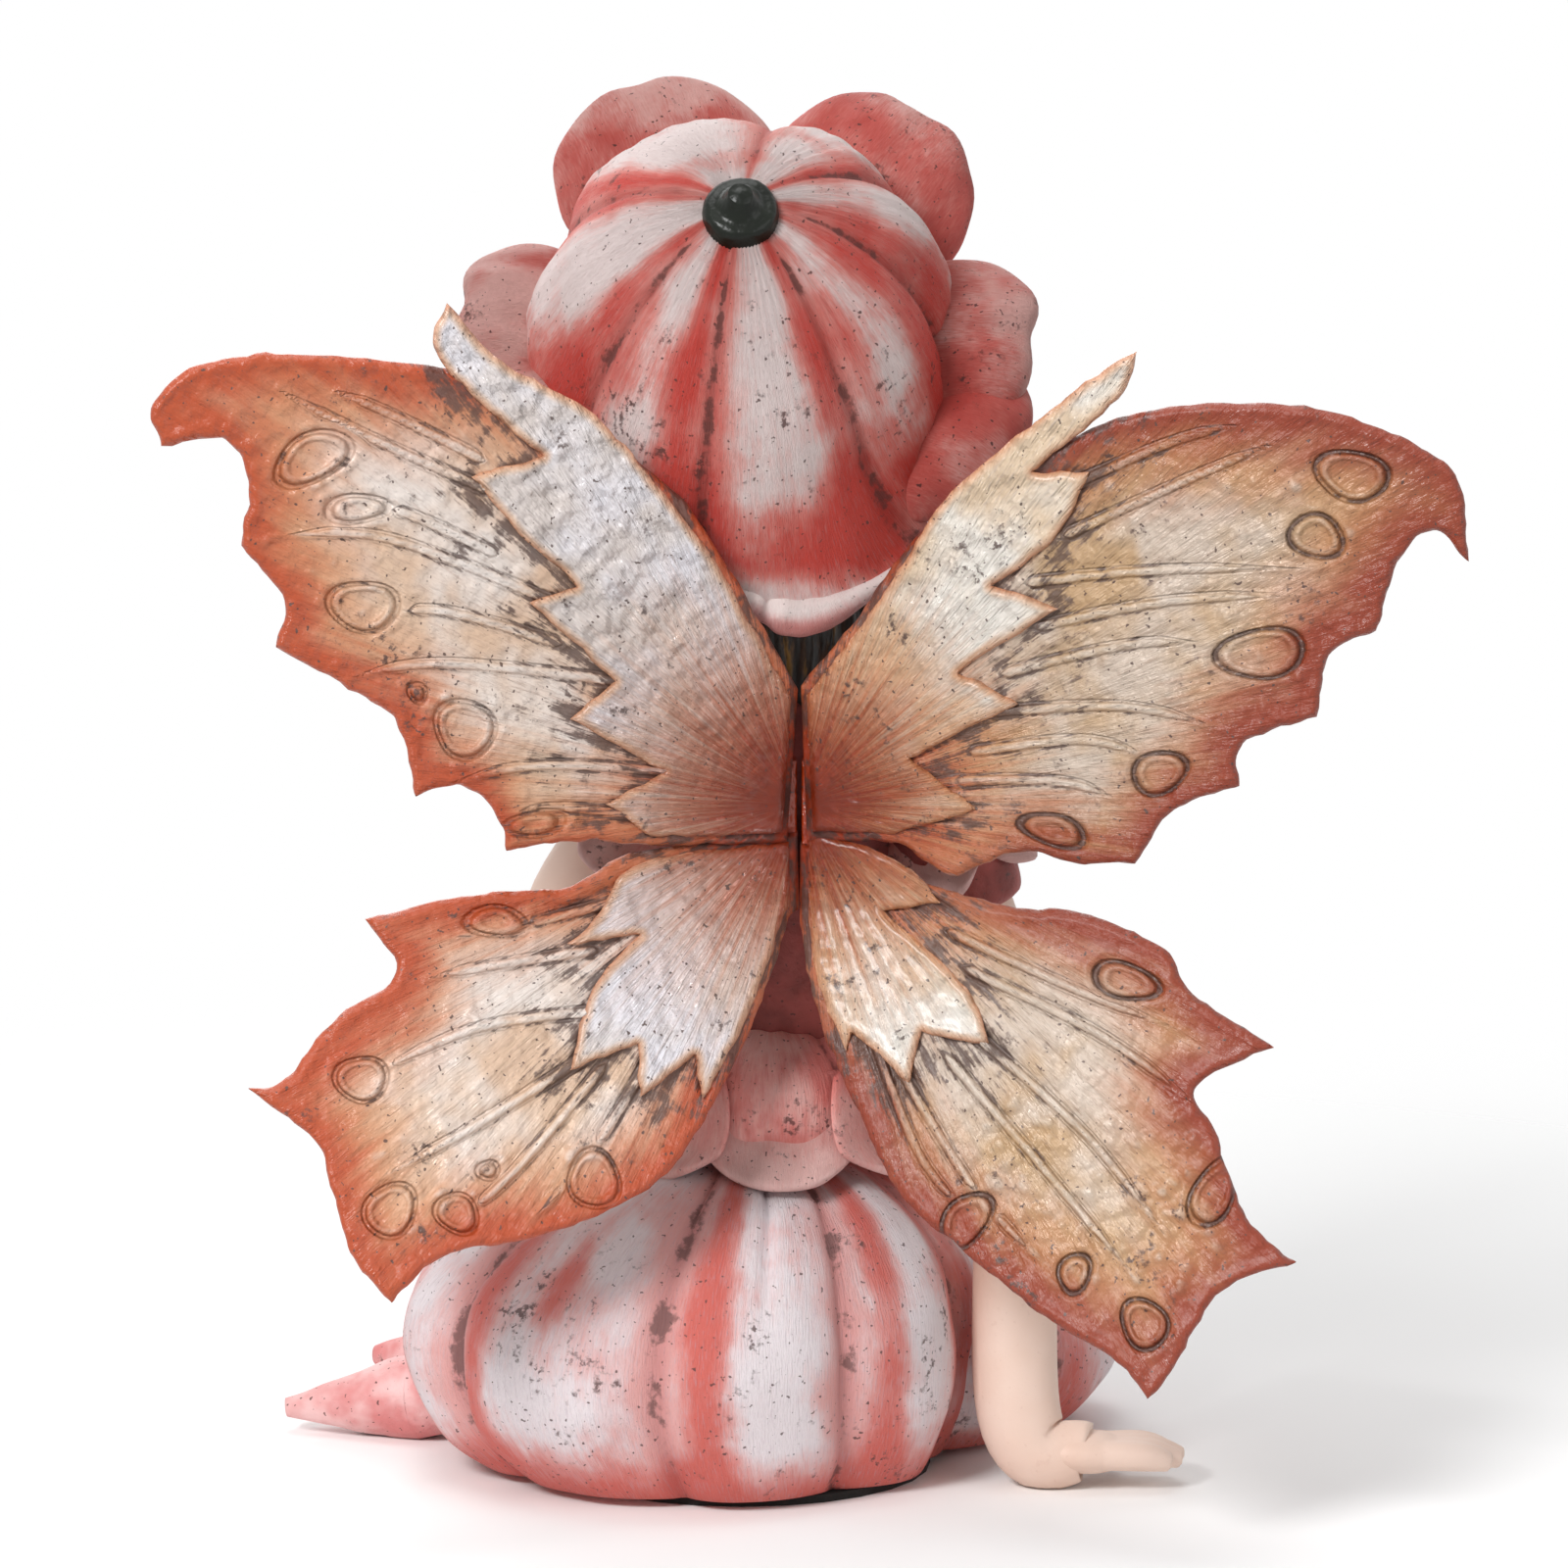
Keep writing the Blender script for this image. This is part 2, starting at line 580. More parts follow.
def makeStalk():
    points = [hatMatrix() @ at(0.0, hat["stalkShift"], hat["radius"] + rise) for rise, _ in hat["stalk"]]
    bm, _ = limbMesh(points, [radius for _, radius in hat["stalk"]], steps=6, sides=10)
    for vert in bm.verts:
        vert.co += vert.co.normalized() * rough(vert.co, 3.0, 0.35)
    material, tree, shader = newPaint("stalkPaint", 0.3, 0.25)
    cloud = noiseOf(tree, objectPlace(tree), 300.0, 3.0)
    feed(tree, shader, "Base Color", mixColours(tree, cloud, colour(5, 8, 5), colour(22, 28, 18)))
    bumpInto(tree, shader, cloud, 0.4)
    finishPiece("stalk", bm, material, "figure")


makeCrown()
makeBrim()
makeNapeLip()
makeStalk()
print("hat made")


# Head and hair

head = {
    "centre": at(1.0, 14.0, 156.0), "size": at(20.0, 20.0, 24.5),
    "neck": (at(7.5, 0.0, 106.0), at(3.0, 6.0, 142.0)), "neckRadius": 6.6,
    "capOfHair": (at(1.0, 9.5, 158.5), at(23.5, 20.0, 24.0)),
    "napeOfHair": (at(7.0, -3.0, 130.0), at(15.0, 10.0, 20.0)),
    "locks": (
        (at(21.0, 16.0, 158.0), at(22.0, 15.0, 138.0), at(19.0, 10.5, 112.0),
         at(16.0, 12.0, 93.0)),
        (at(-19.0, 16.0, 158.0), at(-18.0, 15.0, 138.0), at(-6.0, 10.5, 112.0),
         at(-1.0, 12.0, 92.0)),
    ),
    "lockRadii": (3.0, 5.5, 5.0, 1.4),
    "fringe": (at(0.5, 28.0, 177.0), at(9.5, 27.5, 170.5), at(17.5, 22.5, 161.0),
               at(21.0, 15.5, 147.0)),
    "fringeRadii": (2.6, 3.6, 3.4, 2.4),
    # on a ball of radius 1: how far aside, how high, half width, half height, and mm forward
    "reliefs": (
        (0.0, -0.22, 0.11, 0.10, 2.9),      # tip of the nose
        (0.0, -0.05, 0.07, 0.2, 1.5),       # its bridge
        (0.09, -0.25, 0.05, 0.05, 0.9),     # nostrils
        (0.0, -0.47, 0.15, 0.045, 1.2),     # upper lip
        (0.0, -0.56, 0.12, 0.045, 1.3),     # lower lip
        (0.0, -0.515, 0.17, 0.016, -0.9),   # line between the lips
        (0.0, -0.80, 0.22, 0.14, 2.2),      # chin
        (0.34, 0.10, 0.2, 0.06, 0.8),       # brows
        (0.42, -0.3, 0.18, 0.16, 1.0),      # cheeks
        (0.34, -0.04, 0.17, 0.12, -1.7),    # hollows of the eyes
        (0.34, -0.06, 0.12, 0.08, 1.5),     # closed lids
        (0.34, -0.115, 0.13, 0.02, -0.5),   # crease under the lids
    ),
    "eyeAside": 0.34, "lipLine": -0.515,
}


def makeFace():
    bm = ballMesh(round(200 * fine), round(150 * fine))
    lips, lash, cheek = paintLayers(bm, "lips", "lash", "cheek")

    def bump(d, x, z, wide, tall, height):
        away = ((abs(d.x) - x) / wide) ** 2 + ((d.z - z) / tall) ** 2
        return height * exp(-away) if d.y > 0.0 else 0.0

    for vert in bm.verts:
        d = vert.co.copy()
        forward = sum(bump(d, *relief) for relief in head["reliefs"])
        if d.y > 0.0:
            arc = -0.135 + 0.35 * (abs(d.x) - head["eyeAside"]) ** 2
            brow = 0.19 - 0.9 * (abs(d.x) - 0.33) ** 2
            aside = abs(abs(d.x) - head["eyeAside"])
            vert[lash] = max(exp(-((d.z - arc) / 0.016) ** 2) * (aside < 0.13),
                             0.75 * exp(-((d.z - brow) / 0.018) ** 2) * (aside < 0.18))
            mouth = (d.x / 0.17) ** 2 + ((d.z - head["lipLine"]) / 0.075) ** 2
            vert[lips] = exp(-mouth ** 3)
            vert[cheek] = bump(d, 0.48, -0.3, 0.22, 0.2, 1.0)
        narrow = 1.0 - 0.3 * max(-d.z, 0.0) ** 1.5
        size = head["size"]
        vert.co = at(d.x * size.x * narrow, d.y * size.y + forward, d.z * size.z) + head["centre"]
    material, tree, shader = newPaint("facePaint", 0.5)
    cloud = noiseOf(tree, objectPlace(tree), 45.0, 3.0)
    body = mixColours(tree, remap(tree, cloud, 0.35, 0.65), colour(232, 205, 188), colour(242, 219, 205))
    body = mixColours(tree, times(tree, attribute(tree, "cheek"), 0.45), body, colour(226, 140, 128))
    body = mixColours(tree, times(tree, attribute(tree, "lips"), 0.8), body, colour(196, 92, 92))
    body = mixColours(tree, attribute(tree, "lash"), body, colour(62, 40, 30))
    feed(tree, shader, "Base Color", body)
    bumpInto(tree, shader, noiseOf(tree, objectPlace(tree), 700.0, 3.0), 0.06)
    finishPiece("face", bm, material, "figure")
    bm, _ = limbMesh(list(head["neck"]), [head["neckRadius"]] * 2, steps=10, sides=10)
    finishPiece("neck", bm, skinPaint, "figure")


def hairPaint():
    material, tree, shader = newPaint("hairPaint", 0.42)
    streak = noiseOf(tree, uvOf(tree), 6.0, 4.0, 0.65, stretch=(9.0, 0.7, 1.0))
    strand = attribute(tree, "strand")
    body = mixColours(tree, remap(tree, streak, 0.45, 0.72), colour(20, 12, 7), colour(70, 42, 20))
    gold = times(tree, remap(tree, streak, 0.5, 0.66), remap(tree, strand, 0.3, 0.8))
    body = mixColours(tree, times(tree, gold, 0.75), body, colour(136, 100, 34))
    feed(tree, shader, "Base Color", body)
    bumpInto(tree, shader, streak, 0.5)
    return material


def makeHair():
    material = hairPaint()
    for name, (centre, size) in (("capOfHair", head["capOfHair"]), ("napeOfHair", head["napeOfHair"])):
        bm = ballMesh(round(160 * fine), round(70 * fine))
        strand, along, across = paintLayers(bm, "strand", "along", "across")
        for vert in bm.verts:
            d = vert.co.copy()
            angle = atan2(d.y, d.x) / (2.0 * pi) % 1.0
            wave = sin(angle * 2.0 * pi * 26.0 + 1.2 * sin(d.z * 4.0))
            vert[strand] = 0.5 + 0.5 * wave
            vert[along] = 0.5 * (d.z + 1.0)
            vert[across] = angle
            level = min(d.xy.length * 2.0, 1.0)
            ridge = 0.45 * wave * level - 0.45
            vert.co = stretched(d, size) + d * ridge + centre
        layUv(bm, across, along, wrap=1.0)
        finishPiece(name, bm, material, "figure")
    fringe = [[at(head["centre"].x + side * spot.x, spot.y, spot.z) for spot in head["fringe"]]
              for side in (1.0, -1.0)]
    strands = [(points, head["lockRadii"], 0.8) for points in head["locks"]]
    strands += [(points, head["fringeRadii"], 1.0) for points in fringe]
    for number, (points, radii, flatness) in enumerate(strands):
        bm, path = limbMesh(list(points), list(radii), flatness=flatness, steps=16, sides=20)
        strand, along, across = paintLayers(bm, "strand", "along", "across")
        for vert in bm.verts:
            step = min(range(len(path)), key=lambda index: (path[index] - vert.co).length_squared)
            away = vert.co - path[step]
            angle = atan2(away.y, away.x) / (2.0 * pi) % 1.0
            wave = sin(angle * 2.0 * pi * 6.0 + step * 0.06)
            vert[strand] = 0.5 + 0.5 * wave
            vert[along] = step / 40.0
            vert[across] = angle * 0.3
            if away.length > 0.5:
                vert.co += away.normalized() * (0.4 * wave - 0.4)
        layUv(bm, across, along, wrap=0.3)
        finishPiece(f"lock{number}", bm, material, "figure")


makeFace()
makeHair()
print("head made")


# Bodice, peplum and sleeves

body = {
    "torso": (
        (at(3.0, 2.0, 30.0), 15.0), (at(4.5, 1.5, 50.0), 12.5), (at(6.5, 0.5, 68.0), 12.0),
        (at(8.5, 0.5, 86.0), 15.5), (at(8.6, 0.0, 101.0), 17.0), (at(8.5, 0.0, 111.0), 17.5),
        (at(8.0, 0.5, 118.5), 9.0),
    ),
    "flatness": 0.72,
    "peplumCentre": at(4.5, 0.5, 56.0), "peplumSize": at(21.0, 18.0, 13.0),
    "peplumGrooves": (20.0, 92.0, 164.0, 236.0, 307.0), "peplumDepth": 0.2, "peplumPetals": 6,
}


def makeBodice():
    bm, path = limbMesh([centre for centre, _ in body["torso"]], [wide for _, wide in body["torso"]],
                        flatness=body["flatness"], steps=14, sides=24)
    for vert in bm.verts:
        angle = atan2(vert.co.y, vert.co.x - 7.0)
        fold = 0.35 * sin(angle * 14.0 + 0.05 * vert.co.z) + rough(vert.co, 6.0, 0.5)
        vert.co += at(cos(angle), sin(angle), 0.0) * (fold - 0.35)
    finishPiece("bodice", bm, bodicePaint, "figure")


def makePeplum():
    size = body["peplumSize"]

    def place(direction, swell, lobe, angle):
        spot = stretched(direction, size)
        spot.xy *= 1.0 - body["peplumDepth"] * (1.0 - swell)
        return spot + direction * (rough(spot, 6.0, 0.5) - 0.4) + body["peplumCentre"]

    bm = lobedBall(body["peplumGrooves"], round(26 * fine), round(50 * fine), place, (),
                   lambda direction: 0.5)
    finishPiece("peplum", bm, trimPaint, "figure")
    for number in range(body["peplumPetals"]):
        angle = radians(274.0 + 360.0 / body["peplumPetals"] * number)
        out = at(cos(angle), 0.85 * sin(angle), 0.0)
        root = body["peplumCentre"] + out * (0.8 * size.x) + up * (0.5 * size.z)
        bm = petalMesh({"root": root, "way": out * 0.25 - up, "face": out, "width": 25.0, "length": 17.5,
                        "ruffle": 0.5, "phase": 1.7 * number})
        thicken(finishPiece(f"peplumPetal{number}", bm, trimPaint, "figure"))


makeBodice()
makePeplum()
print("bodice made")


# Skirt and lap

skirt = {
    "centreZ": 20.0, "rise": 30.0, "drop": 31.0, "wide": 44.0, "deep": 37.0, "shift": -8.0,
    "grooves": (28.0, 68.0, 108.0, 146.0, 180.0, 213.0, 264.0, 305.0, 347.0), "depth": 0.11,
    "lapCentre": at(16.0, 22.0, 14.0), "lapSize": at(43.0, 31.0, 23.0), "lapTurn": radians(20.0),
    "lapGrooves": (12.0, 50.0, 88.0, 124.0, 170.0, 215.0, 260.0, 310.0), "lapDepth": 0.12,
    "underside": 1.5, "slitAngle": 285.0, "patchAngle": 239.0,
    "blushes": ((35.0, 7.0, 0.9), (74.0, 7.0, 0.9), (114.0, 7.0, 0.9), (152.0, 7.0, 0.9),
                (187.0, 7.0, 0.9), (220.0, 5.0, 0.9), (273.0, 5.0, 1.1), (315.0, 5.0, 1.1),
                (340.0, 4.0, 0.7), (354.0, 6.0, 0.9)),
}


def flattenUnder(bm):
    # the casting is flat underneath, just above the pad
    geometry = bm.verts[:] + bm.edges[:] + bm.faces[:]
    cut = bmesh.ops.bisect_plane(bm, geom=geometry, dist=1e-4, plane_co=up * skirt["underside"],
                                 plane_no=-up, clear_outer=True)
    rim = [item for item in cut["geom_cut"] if isinstance(item, bmesh.types.BMEdge)]
    bmesh.ops.edgenet_fill(bm, edges=rim)
    bmesh.ops.recalc_face_normals(bm, faces=bm.faces[:])


def skirtHem(direction):
    # the foot is coral, and so is one patch high on her left
    aside = (degrees(atan2(direction.y, direction.x)) % 360.0 - skirt["patchAngle"]) / 4.0
    patch = 0.9 * exp(-aside * aside - ((direction.z - 0.5) / 0.25) ** 2)
    return 1.1 * min(max((-direction.z - 0.28) / 0.3, 0.0), 1.0) + patch


def makeSkirt():
    def place(direction, swell, lobe, angle):
        reach = skirt["rise"] if direction.z > 0.0 else skirt["drop"]
        level = direction.xy.length
        spot = at(direction.x * skirt["wide"], direction.y * skirt["deep"], direction.z * reach)
        pleat = 0.4 * sin(angle * 40.0 + 2.0 * lobe) * max(direction.z, 0.0)
        spot.xy *= 1.0 - skirt["depth"] * (1.0 - swell) * min(level * 2.0, 1.0) + 0.01 * pleat
        spot.x += skirt["shift"] * level * level
        spot += direction * rough(spot + at(0.0, 0.0, lobe * 11.0), 11.0, 0.9)
        aside = (degrees(angle) - skirt["slitAngle"]) / 1.6
        slit = exp(-aside * aside) * min(max(direction.z - 0.25, 0.0) * 2.5, 1.0)
        return spot + up * skirt["centreZ"] - direction * (0.4 + 1.6 * slit)

    bm = lobedBall(skirt["grooves"], round(30 * fine), round(110 * fine), place, skirt["blushes"],
                   skirtHem)
    flattenUnder(bm)
    finishPiece("skirt", bm, skirtPaint, "figure")


def makeLap():
    size = skirt["lapSize"]

    def place(direction, swell, lobe, angle):
        spot = stretched(direction, size)
        spot.xy *= 1.0 - skirt["lapDepth"] * (1.0 - swell) * min(direction.xy.length * 2.0, 1.0)
        return spot + direction * (rough(spot, 10.0, 0.9) - 0.5)

    blushes = [(groove + 5.0, 7.0, 0.9) for groove in skirt["lapGrooves"]]
    bm = lobedBall(skirt["lapGrooves"], round(26 * fine), round(80 * fine), place, blushes, skirtHem)
    bm.transform(Matrix.Translation(skirt["lapCentre"]) @ Matrix.Rotation(skirt["lapTurn"], 4, "Z"))
    flattenUnder(bm)
    finishPiece("lap", bm, skirtPaint, "figure")


makeSkirt()
makeLap()
print("skirt made")


# Arms, hands, legs and slippers

limbs = {
    "chestMiddle": at(8.4, 0.0, 108.0),
    "shoulderRight": at(25.0, 0.0, 108.0), "elbowRight": at(39.5, 0.0, 64.0),
    "wristRight": at(40.8, -12.0, 10.8), "shoulderLeft": at(-8.0, 0.0, 108.0),
    "elbowLeft": at(-27.0, 4.0, 78.0), "wristLeft": at(-6.0, 33.0, 45.0),
    "armRadius": 6.0, "wristRadius": {"right": 6.2, "left": 5.0}, "sleeveRadius": 9.5, "sleevePetals": 4,
    "palmRight": (at(50.5, -14.5, 5.4), at(1.0, 0.12, -0.06), at(0.0, 0.0, -1.0)),
    "palmLeft": (at(1.5, 38.5, 41.0), at(0.8, 0.55, -0.25), at(0.1, -0.2, -1.0)),
    "palmLength": 9.0, "palmWidth": 10.6, "palmThick": 6.4, "fingerRadius": 2.2,
    "fingers": ((-3.6, 7.8), (-1.2, 9.8), (1.2, 10.4), (3.6, 9.2)), "thumbLength": 8.0,
    "legs": ((at(-2.0, 22.0, 10.0), at(-41.0, 15.0, 6.9), at(-69.0, 18.0, 3.6)),
             (at(6.0, 35.0, 10.0), at(-33.0, 39.0, 6.6), at(-57.0, 49.0, 4.2))),
    "shinRadius": 6.6, "ankleRadius": 5.7, "toeRadius": 1.4,
}


def frameAlong(direction, sideHint):
    z = direction.normalized()
    x = sideHint.cross(z).normalized()
    return Matrix((x, z.cross(x), z)).transposed().to_4x4()


def joinInto(bm, other):
    mesh = bpy.data.meshes.new("part")
    other.to_mesh(mesh)
    other.free()
    bm.from_mesh(mesh)
    bpy.data.meshes.remove(mesh)


def makeHand(side, palm):
    centre, pointing, facing = palm
    turn = Matrix.Translation(centre) @ frameAlong(pointing, -facing)
    bm = ballMesh(40, 28)
    for vert in bm.verts:
        vert.co = at(vert.co.x * limbs["palmWidth"] / 2.0, vert.co.y * limbs["palmThick"] / 2.0,
                     vert.co.z * 0.75 * limbs["palmLength"])
    bm.transform(turn)
    radius = limbs["fingerRadius"]
    for place, length in limbs["fingers"]:
        start = turn @ at(0.75 * place, 0.0, 0.1 * limbs["palmLength"])
        middle = turn @ at(place, 0.3, 0.5 * limbs["palmLength"] + 0.5 * length)
        end = turn @ at(1.05 * place, -0.6, 0.5 * limbs["palmLength"] + length)
        finger, _ = limbMesh([start, middle, end], [radius, radius, 0.6 * radius], steps=6, sides=6)
        joinInto(bm, finger)
    outward = 1.0 if side == "right" else -1.0
    start = turn @ at(outward * 0.3 * limbs["palmWidth"], 0.0, -0.2 * limbs["palmLength"])
    end = turn @ at(outward * 0.78 * limbs["palmWidth"], -0.4,
                    -0.2 * limbs["palmLength"] + limbs["thumbLength"])
    thumb, _ = limbMesh([start, end], [1.2 * radius, 0.7 * radius], steps=8, sides=6)
    joinInto(bm, thumb)
    piece = finishPiece(side + "Hand", bm, skinPaint, "figure")
    merge = piece.modifiers.new("merge", "REMESH")
    merge.mode = "VOXEL"
    merge.voxel_size = 0.45 * mm
    merge.use_smooth_shade = True
    soften = piece.modifiers.new("soften", "SMOOTH")
    soften.iterations = 4


def makeArm(side, shoulder, elbow, wrist, palm):
    wristRadius = limbs["wristRadius"][side]
    radii = [limbs["armRadius"], limbs["armRadius"], wristRadius, 0.7 * wristRadius]
    bm, _ = limbMesh([shoulder, elbow, wrist, palm[0]], radii, steps=14, sides=10)
    finishPiece(side + "Arm", bm, skinPaint, "figure")
    inner = shoulder.lerp(limbs["chestMiddle"], 0.3)
    hem = shoulder.lerp(elbow, 0.46)
    outer = hem + (hem - shoulder) * 0.17
    size = limbs["sleeveRadius"]
    bm, _ = limbMesh([inner, shoulder, hem, outer], [0.55 * size, 0.95 * size, size, 0.84 * size],
                     steps=10, sides=16)
    for vert in bm.verts:
        vert.co.z -= 0.3
    finishPiece(side + "Sleeve", bm, bodicePaint, "figure")
    way = (hem - shoulder).normalized()
    beside = way.cross(at(0.0, 1.0, 0.0)).normalized()
    for number in range(limbs["sleevePetals"]):
        angle = 2.0 * pi / limbs["sleevePetals"] * (number + 0.15)
        out = beside * cos(angle) + way.cross(beside) * sin(angle)
        root = shoulder.lerp(hem, 0.32 + 0.04 * number) + out * ((0.82 + 0.02 * number) * size)
        bm = petalMesh({"root": root, "way": way + out * 0.2, "face": out, "width": 14.0, "length": 14.5,
                        "ruffle": 0.3, "phase": 2.1 * number})
        thicken(finishPiece(f"{side}SleevePetal{number}", bm, trimPaint, "figure"))
    makeHand(side, palm)


def makeLegs():
    for number, (knee, ankle, toe) in enumerate(limbs["legs"]):
        heel = ankle.lerp(toe, 0.35)
        ankleRadius = limbs["ankleRadius"]
        radii = [limbs["shinRadius"], ankleRadius, 1.1 * ankleRadius, limbs["toeRadius"]]
        bm, _ = limbMesh([knee, ankle, heel, toe], radii, steps=14, sides=12)
        for vert in bm.verts:
            vert.co.z += rough(vert.co, 5.0, 0.4)
        finishPiece(f"slipper{number}", bm, slipperPaint, "figure")


makeArm("right", limbs["shoulderRight"], limbs["elbowRight"], limbs["wristRight"], limbs["palmRight"])
makeArm("left", limbs["shoulderLeft"], limbs["elbowLeft"], limbs["wristLeft"], limbs["palmLeft"])
makeLegs()
print("limbs made")


# Wings

sight = {"aim": at(8.4, 0.0, 94.6), "distance": 1200.0, "tilt": radians(10.0)}
wing = {
    "rootX": 8.4, "rootY": -18.0, "sweep": 0.42, "sweepEase": 0.0016, "lowerSweep": 0.35,
    "lowerSweepStart": 10.0, "thick": 2.2, "collarThick": 1.5, "collarSink": 0.5, "underlap": 1.0,
    "fan": at(0.0, 5.0, 0.0), "step": 0.6 / fine, "rim": 1.1,
    "ribHeight": 0.8, "ribWidth": 0.48, "rootGap": 0.35,
    "tenonThick": 2.4, "tenonBack": -16.6, "tenonFront": -7.0, "tenonDrop": 7.1, "tenonRise": 14.4,
}
upperLeft = {
    "leading": ((-0.2, 21.7), (-11.5, 41.3), (-19.7, 52.1), (-39.6, 65.8), (-54.7, 69.7),
                (-77.0, 71.4), (-88.8, 69.7), (-95.3, 64.1), (-94.0, 57.9)),
    "outer": (((-84.5, 58.6), (-81.1, 52.1), (-82.4, 43.2)),
              ((-75.9, 35.3), (-77.2, 28.2)),
              ((-63.9, 20.7), (-59.0, 16.3), (-56.4, 6.3)),
              ((-49.8, 7.8), (-44.9, 3.9), (-42.9, -1.7))),
    "trailing": ((-0.2, -0.8), (-22.3, -1.0), (-31.5, -0.3), (-42.9, -1.7)),
    "veins": (((-48.7, 52.7), (-64.2, 59.6), (-81.4, 68.8)),
              ((-49.0, 57.0), (-60.0, 62.5), (-72.0, 67.5)),
              ((-40.2, 36.3), (-61.7, 44.5), (-81.7, 43.8)),
              ((-47.0, 43.0), (-58.0, 48.0), (-68.0, 50.0)),
              ((-30.1, 23.5), (-52.8, 25.8), (-69.3, 22.9)),
              ((-38.0, 29.5), (-52.0, 33.5), (-62.0, 33.0)),
              ((-19.0, 9.6), (-38.0, 10.8), (-56.0, 6.8)),
              ((-24.0, 3.5), (-36.0, 4.5), (-45.0, 2.0))),
    "rings": ((-71.6, 56.2, 5.0, 3.3, 20.0), (-65.1, 48.7, 3.6, 1.8, 0.0),
              (-64.1, 34.3, 4.3, 3.6, 0.0), (-49.2, 16.3, 4.3, 3.6, 0.0),
              (-56.2, 21.6, 1.0, 1.0, 0.0), (-38.9, 2.2, 3.2, 1.6, 10.0)),
}
upperLeftCollar = {
    "leading": ((-1.2, 20.6), (-12.3, 40.4), (-20.6, 51.6), (-31.5, 63.4), (-43.9, 70.3),
                (-51.8, 78.9)),
    "outer": (((-54.0, 72.7), (-49.0, 66.2), (-37.9, 56.2)),
              ((-48.2, 53.3),),
              ((-41.3, 45.1), (-32.7, 37.2)),
              ((-39.7, 34.6),),
              ((-27.2, 23.3),),
              ((-33.7, 17.4),),
              ((-19.7, 9.8),),
              ((-28.4, 5.2),),
              ((-21.9, 0.2),)),
    "trailing": ((-1.2, 0.8), (-21.9, 0.2)),
    "veins": (), "rings": (),
}
upperRight = {
    "leading": ((0.2, 22.2), (6.8, 30.0), (14.0, 40.2), (21.0, 47.8), (34.0, 55.5), (50.4, 62.8),
                (74.2, 63.6), (89.6, 58.5), (96.8, 52.8), (98.5, 40.8)),
    "outer": (((93.2, 45.6), (88.0, 40.5), (85.0, 30.7)),
              ((78.0, 27.0), (76.3, 17.9)),
              ((65.4, 14.0), (64.8, 7.8)),
              ((55.0, 4.0), (49.5, -3.7))),
    "trailing": ((0.2, -0.8), (13.8, -0.6), (22.2, -5.4), (32.0, -2.0), (41.2, -3.5), (49.5, -3.7)),
    "veins": (((42.3, 46.1), (58.0, 53.3), (74.3, 60.2)),
              ((42.9, 53.3), (55.0, 58.5), (67.7, 61.8)),
              ((38.4, 31.8), (54.7, 35.0), (80.1, 36.3)),
              ((37.0, 38.0), (52.0, 39.5), (81.0, 40.0)),
              ((31.2, 18.7), (48.2, 19.4), (64.5, 15.5)),
              ((33.0, 25.0), (48.0, 28.5), (62.0, 29.0)), ((26.0, 8.4), (38.4, 8.4), (48.8, 5.0)),
              ((28.0, 13.0), (42.0, 14.5), (54.0, 11.0))),
    "rings": ((81.4, 53.6, 4.7, 3.4, 0.0), (76.0, 44.6, 3.7, 2.7, 0.0),
              (68.0, 27.4, 5.4, 3.6, 10.0), (53.0, 9.8, 3.6, 2.7, 0.0),
              (37.4, 1.3, 4.0, 2.0, -10.0)),
}
upperRightCollar = {
    "leading": ((1.2, 21.2), (7.6, 29.2), (14.6, 39.4), (21.7, 50.2), (32.0, 59.0), (41.2, 66.4),
                (49.7, 72.0)),
    "outer": (((46.8, 64.8), (34.3, 53.9)),
              ((42.8, 54.1),),
              ((37.2, 43.8), (28.4, 37.4)),
              ((38.2, 34.0),),
              ((23.2, 24.5),),
              ((32.3, 19.9),),
              ((16.4, 11.7),),
              ((26.1, 4.2),),
              ((13.7, 0.8),)),
    "trailing": ((1.2, 0.9), (13.7, 0.8)),
    "veins": (), "rings": (),
}
lowerLeft = {
    "leading": ((-0.2, 0.8), (-23.3, -2.0), (-33.7, -7.2), (-48.1, -8.4), (-64.1, -12.0)),
    "outer": (((-59.2, -20.0), (-68.7, -27.0), (-75.7, -35.5), (-80.9, -37.0)),
              ((-71.6, -44.2), (-68.7, -52.0), (-66.0, -61.0), (-60.3, -68.4))),
    "trailing": ((-0.2, -10.5), (-2.0, -13.5), (-6.6, -26.8), (-12.8, -39.2), (-19.6, -49.4),
                 (-28.9, -55.2), (-40.6, -59.2), (-52.4, -61.3), (-60.3, -68.4)),
    "veins": (((-32.4, -16.8), (-45.4, -18.7), (-56.9, -20.9)),
              ((-32.4, -25.9), (-48.2, -28.1), (-69.8, -38.2)),
              ((-33.1, -33.1), (-48.2, -42.5), (-65.5, -51.8)),
              ((-31.0, -36.0), (-42.0, -49.0), (-53.0, -58.0)),
              ((-23.8, -35.3), (-31.0, -46.8), (-41.0, -57.6)),
              ((-28.0, -9.5), (-40.0, -12.5), (-54.0, -15.0))),
    "rings": ((-44.6, -12.2, 3.6, 2.0, 0.0), (-64.4, -35.3, 3.2, 3.2, 0.0),
              (-60.2, -54.6, 3.6, 3.4, 0.0), (-50.4, -55.0, 2.7, 2.6, 0.0),
              (-45.8, -48.7, 1.1, 1.1, 0.0), (-30.2, -50.1, 3.7, 3.6, 0.0)),
}
